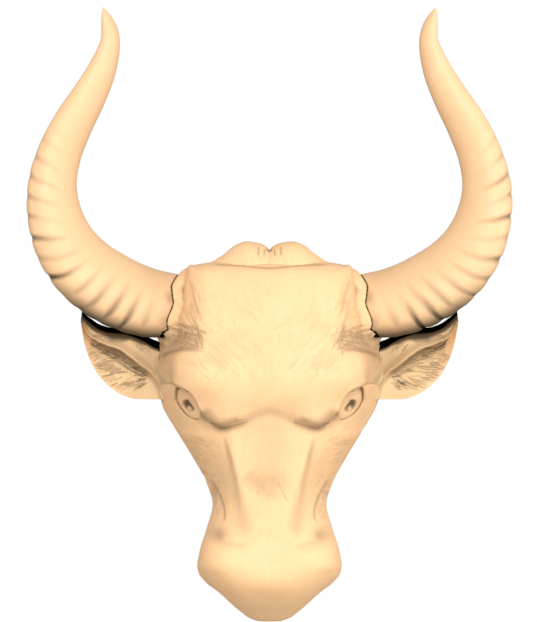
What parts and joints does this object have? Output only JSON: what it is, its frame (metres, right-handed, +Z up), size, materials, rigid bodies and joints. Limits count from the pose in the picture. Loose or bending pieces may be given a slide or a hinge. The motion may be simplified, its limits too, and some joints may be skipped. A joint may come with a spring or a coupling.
{
  "type": "carved bull head",
  "caption": "Life-size carved wooden bull's head with upswept ridged horns, cupped ears and a flat back that hangs on a wall.",
  "frame": {"origin": "on the flat back that lies against the wall, on the head's mid line, at the level of the eyes", "axes": "+Z up along the head, from lips to horns; +Y into the wall; +X to the viewer's right, so the face looks along -Y"},
  "size_m": [0.6304, 0.2172, 0.7982],
  "materials": {
    "limewood": "carved, smoothed and waxed"
  },
  "bodies": {
    "root": {"head": "limewood", "muzzle": "limewood", "lower_jaw": "limewood", "poll_tuft": "limewood", "horn_right": "limewood", "horn_left": "limewood", "ear_right": "limewood", "ear_left": "limewood", "eye_right": "limewood", "eye_left": "limewood"}
  },
  "joints": []
}
